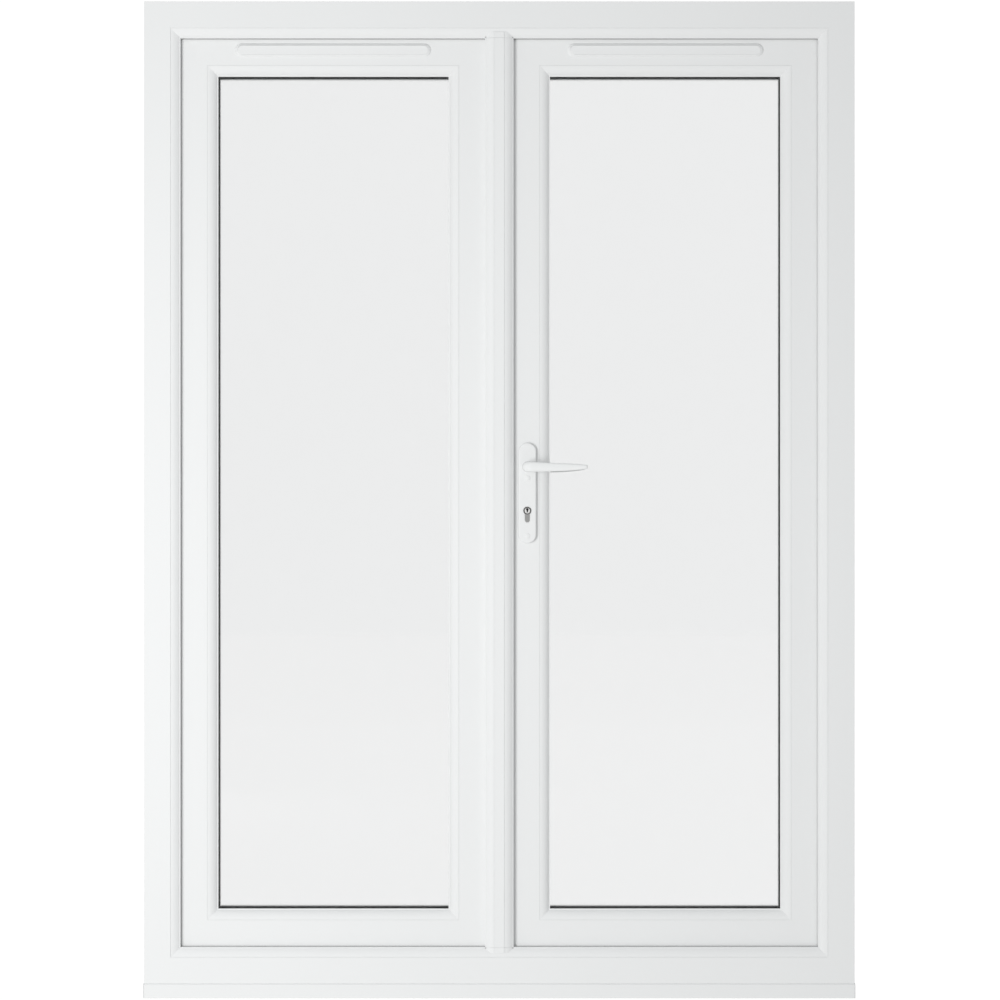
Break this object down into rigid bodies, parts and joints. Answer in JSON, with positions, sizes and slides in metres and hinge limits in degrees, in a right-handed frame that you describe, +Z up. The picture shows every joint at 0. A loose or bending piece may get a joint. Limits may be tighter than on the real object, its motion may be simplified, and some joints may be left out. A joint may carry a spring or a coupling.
{
  "type": "french doors",
  "caption": "White plastic french doors: paired glazed leaves that open outwards in a frame on a cill, with a mullion on the slave leaf, levers, a lock and vents.",
  "frame": {"origin": "on the cill's underside, at the middle of its length and at the middle of the frame's depth", "axes": "+X to the right seen from the room, +Y from the room to the outside, +Z up"},
  "size_m": [1.493, 0.179, 2.09],
  "materials": {
    "white_plastic": "satin",
    "white_metal": "powder coated satin",
    "zinc_steel": "galvanised",
    "bright_steel": "brushed",
    "nickel": "satin nickel",
    "black_rubber": "matte",
    "black_spacer": "matte",
    "clear_glass": "clear"
  },
  "bodies": {
    "frame": {"frame_jamb_left": "white_plastic", "frame_jamb_right": "white_plastic", "frame_head": "white_plastic", "frame_threshold": "white_plastic", "frame_steel": "zinc_steel", "frame_seal": "black_rubber", "cill": "white_plastic", "cill_end_caps": "white_plastic", "mullion_end_blocks": "white_plastic", "hinge_frame_plates": "white_metal", "hinge_pins": "bright_steel", "shootbolt_keeps": "bright_steel"},
    "master_leaf": {"master_hinge_stile": "white_plastic", "master_lock_stile": "white_plastic", "master_top_rail": "white_plastic", "master_bottom_rail": "white_plastic", "master_steel": "zinc_steel", "master_beads": "white_plastic", "master_panes": "clear_glass", "master_spacer": "black_spacer", "master_seals": "black_rubber", "master_packers": "black_rubber", "master_hinge_plates": "white_metal", "master_vent_base": "white_plastic", "master_vent_hood": "white_plastic", "backplate_room": "white_metal", "backplate_outside": "white_metal", "handle_screws": "bright_steel", "lock_faceplate": "bright_steel", "lock_case": "zinc_steel", "cylinder_body": "nickel"},
    "slave_leaf": {"slave_hinge_stile": "white_plastic", "slave_meeting_stile": "white_plastic", "slave_top_rail": "white_plastic", "slave_bottom_rail": "white_plastic", "slave_steel": "zinc_steel", "slave_beads": "white_plastic", "slave_panes": "clear_glass", "slave_spacer": "black_spacer", "slave_seals": "black_rubber", "slave_packers": "black_rubber", "slave_hinge_plates": "white_metal", "slave_vent_base": "white_plastic", "slave_vent_hood": "white_plastic", "mullion": "white_plastic", "mullion_end_caps": "white_plastic", "mullion_keeps": "bright_steel"},
    "lever_set": {"lever_room": "white_metal", "lever_outside": "white_metal", "spindle": "bright_steel", "lock_follower": "bright_steel"},
    "drive_rail": {"drive_rail": "bright_steel"},
    "latch_bolt": {"latch_bolt": "bright_steel"},
    "dead_bolt": {"dead_bolt": "bright_steel"},
    "key_barrel": {"key_barrel": "nickel"},
    "shootbolt_top": {"shootbolt_top": "bright_steel"},
    "shootbolt_bottom": {"shootbolt_bottom": "bright_steel"},
    "master_vent_flap": {"master_vent_flap": "white_plastic"},
    "slave_vent_flap": {"slave_vent_flap": "white_plastic"}
  },
  "joints": [
    {"name": "master_swing", "type": "hinge", "parent": "frame", "child": "master_leaf", "pos_m": [0.7065, 0.06, 1.06], "axis": [0, 0, -1], "range_deg": [0, 100]},
    {"name": "slave_swing", "type": "hinge", "parent": "frame", "child": "slave_leaf", "pos_m": [-0.7065, 0.06, 1.06], "axis": [0, 0, 1], "range_deg": [0, 90.5]},
    {"name": "lever_turn", "type": "hinge", "parent": "master_leaf", "child": "lever_set", "pos_m": [0.059, 0.013, 1.114], "axis": [0, 1, 0], "range_deg": [-40, 35], "stiffness_Nm_per_rad": 2, "springref_deg": -4.01},
    {"name": "drive_slide", "type": "slide", "parent": "master_leaf", "child": "drive_rail", "axis": [0, 0, -1], "range_m": [-0.0152, 0.0134]},
    {"name": "latch_slide", "type": "slide", "parent": "master_leaf", "child": "latch_bolt", "axis": [-1, 0, 0], "range_m": [0, 0.014]},
    {"name": "key_turn", "type": "hinge", "parent": "master_leaf", "child": "key_barrel", "pos_m": [0.059, 0.013, 1.022], "axis": [0, 1, 0], "range_deg": [0, 360]},
    {"name": "deadbolt_slide", "type": "slide", "parent": "master_leaf", "child": "dead_bolt", "axis": [-1, 0, 0], "range_m": [0, 0.02]},
    {"name": "shootbolt_top_slide", "type": "slide", "parent": "slave_leaf", "child": "shootbolt_top", "axis": [0, 0, 1], "range_m": [0, 0.02]},
    {"name": "shootbolt_bottom_slide", "type": "slide", "parent": "slave_leaf", "child": "shootbolt_bottom", "axis": [0, 0, -1], "range_m": [0, 0.02]},
    {"name": "master_vent_tilt", "type": "hinge", "parent": "master_leaf", "child": "master_vent_flap", "pos_m": [0.35, -0.01575, 1.9845], "axis": [1, 0, 0], "range_deg": [0, 25]},
    {"name": "slave_vent_tilt", "type": "hinge", "parent": "slave_leaf", "child": "slave_vent_flap", "pos_m": [-0.35, -0.01575, 1.9845], "axis": [1, 0, 0], "range_deg": [0, 25]}
  ],
  "couplings": [
    {"joint": "slave_swing", "follows": "master_swing", "ratio": 0.9},
    {"joint": "drive_slide", "follows": "lever_turn", "m_per_rad": 0.0215},
    {"joint": "key_turn", "follows": "deadbolt_slide", "rad_per_m": 314.16}
  ]
}
